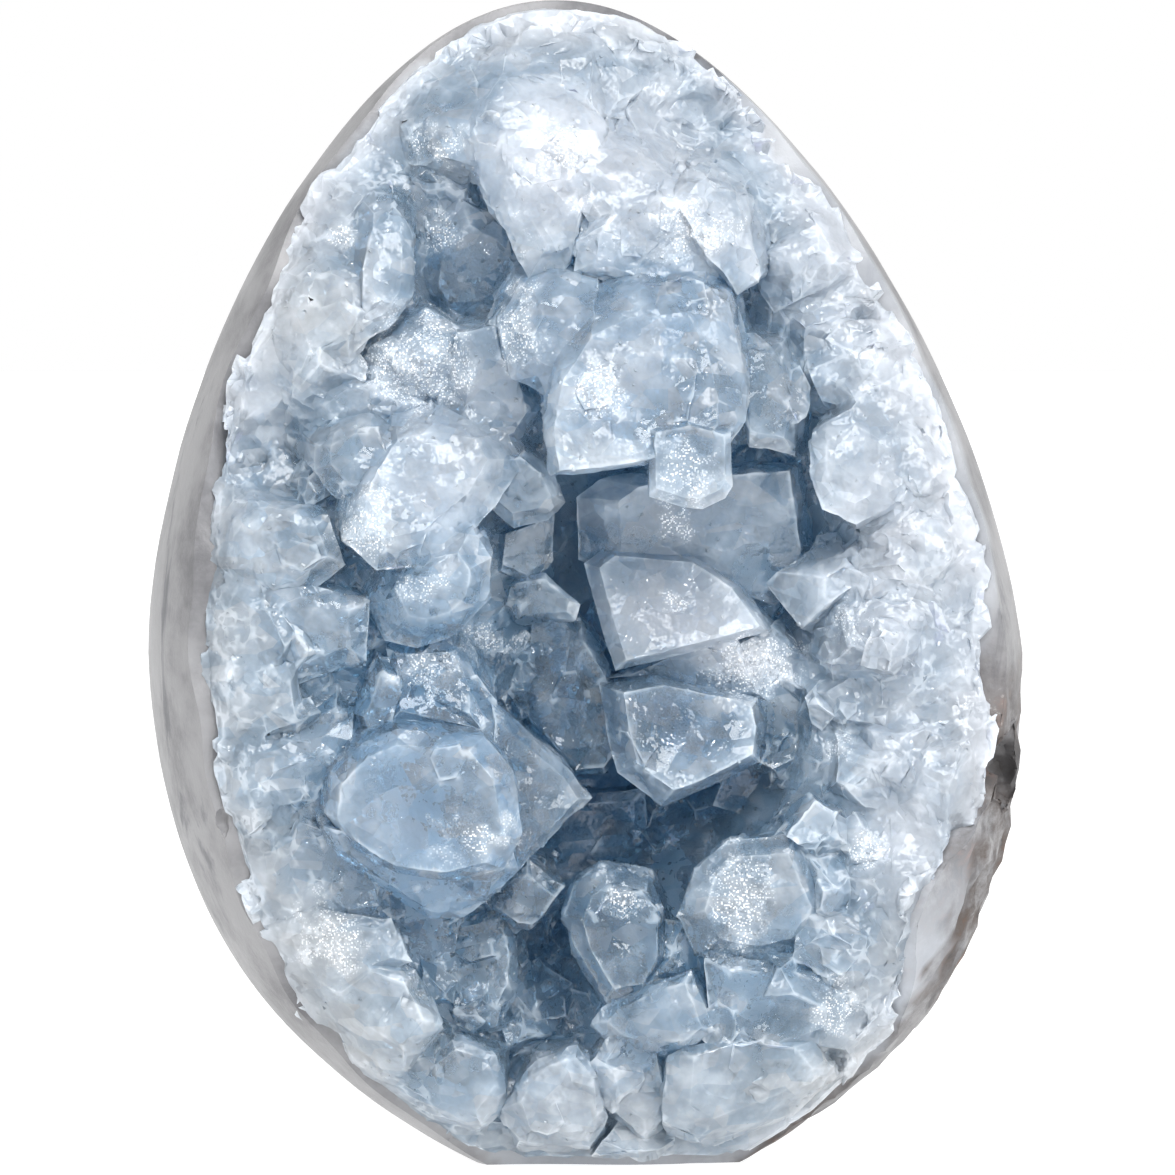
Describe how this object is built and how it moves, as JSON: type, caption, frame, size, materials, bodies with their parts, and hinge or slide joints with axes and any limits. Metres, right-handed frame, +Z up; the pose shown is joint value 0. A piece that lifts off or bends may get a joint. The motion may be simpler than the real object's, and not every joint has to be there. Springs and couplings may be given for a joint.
{
  "type": "celestite geode egg",
  "caption": "Egg-shaped geode standing on its blunt end, open at the front onto a hollow lined with pale blue blocky celestite crystals.",
  "frame": {"origin": "middle of the flat foot that the geode stands on", "axes": "+Z up towards the pointed end, -Y out of the open front with the crystals, +X to the right as seen from the front"},
  "size_m": [0.0905, 0.0668, 0.12],
  "materials": {
    "rock_wall": "worn smooth, half polished",
    "crystal_crust": "clear to milky crystal, glassy faces"
  },
  "bodies": {
    "root": {"rock_wall": "rock_wall", "crystal_crust": "crystal_crust"}
  },
  "joints": []
}
